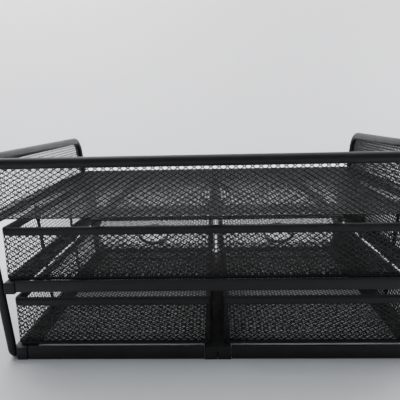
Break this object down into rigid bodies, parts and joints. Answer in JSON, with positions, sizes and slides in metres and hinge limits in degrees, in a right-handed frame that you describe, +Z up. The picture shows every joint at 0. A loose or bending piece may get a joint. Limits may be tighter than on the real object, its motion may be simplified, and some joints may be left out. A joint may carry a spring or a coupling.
{
  "type": "desk organizer",
  "caption": "Black steel mesh desk organizer: an open-fronted paper tray on a leaning tube stand over a full-width sliding tray and side-by-side drawers with oval finger holes.",
  "frame": {"origin": "on the table, under the middle of the whole organizer's box", "axes": "+Z up, front faces -Y, +X to the right as seen from the front"},
  "size_m": [0.356, 0.266, 0.153],
  "materials": {
    "frame_coat": "satin black powder coat on steel tube and folded sheet",
    "mesh_coat": "black powder coat on expanded steel mesh"
  },
  "bodies": {
    "stand": {"side_frame_left": "frame_coat", "post_rear_left": "frame_coat", "post_front_left": "frame_coat", "runner_middle_left": "frame_coat", "runner_bottom_left": "frame_coat", "rail_bottom_rear_left": "frame_coat", "side_frame_right": "frame_coat", "post_rear_right": "frame_coat", "post_front_right": "frame_coat", "runner_middle_right": "frame_coat", "runner_bottom_right": "frame_coat", "rail_bottom_rear_right": "frame_coat", "rail_middle_rear": "frame_coat", "rail_middle_front": "frame_coat", "runner_centre": "frame_coat", "tie_bar_bottom": "frame_coat", "tray_rim_rear": "frame_coat", "tray_rim_left": "frame_coat", "tray_rim_right": "frame_coat", "tray_front_edge": "frame_coat", "tray_floor_mesh": "mesh_coat", "tray_rear_mesh": "mesh_coat", "tray_side_mesh_left": "mesh_coat", "tray_side_mesh_right": "mesh_coat", "tray_strap_left": "frame_coat", "tray_strap_centre": "frame_coat", "tray_strap_right": "frame_coat"},
    "middle_tray": {"middle_tray_rim": "frame_coat", "middle_tray_base": "frame_coat", "middle_tray_floor_mesh": "mesh_coat", "middle_tray_rear_mesh": "mesh_coat", "middle_tray_left_mesh": "mesh_coat", "middle_tray_right_mesh": "mesh_coat", "middle_tray_front_frame": "frame_coat", "middle_tray_front_mesh": "mesh_coat", "middle_tray_grip": "frame_coat"},
    "drawer_left": {"drawer_left_rim": "frame_coat", "drawer_left_base": "frame_coat", "drawer_left_floor_mesh": "mesh_coat", "drawer_left_rear_mesh": "mesh_coat", "drawer_left_left_mesh": "mesh_coat", "drawer_left_right_mesh": "mesh_coat", "drawer_left_front_frame": "frame_coat", "drawer_left_front_mesh": "mesh_coat", "drawer_left_grip": "frame_coat"},
    "drawer_right": {"drawer_right_rim": "frame_coat", "drawer_right_base": "frame_coat", "drawer_right_floor_mesh": "mesh_coat", "drawer_right_rear_mesh": "mesh_coat", "drawer_right_left_mesh": "mesh_coat", "drawer_right_right_mesh": "mesh_coat", "drawer_right_front_frame": "frame_coat", "drawer_right_front_mesh": "mesh_coat", "drawer_right_grip": "frame_coat"}
  },
  "joints": [
    {"name": "middle_tray_slide", "type": "slide", "parent": "stand", "child": "middle_tray", "axis": [0, -1, 0], "range_m": [0, 0.18]},
    {"name": "drawer_left_slide", "type": "slide", "parent": "stand", "child": "drawer_left", "axis": [0, -1, 0], "range_m": [0, 0.17]},
    {"name": "drawer_right_slide", "type": "slide", "parent": "stand", "child": "drawer_right", "axis": [0, -1, 0], "range_m": [0, 0.17]}
  ]
}
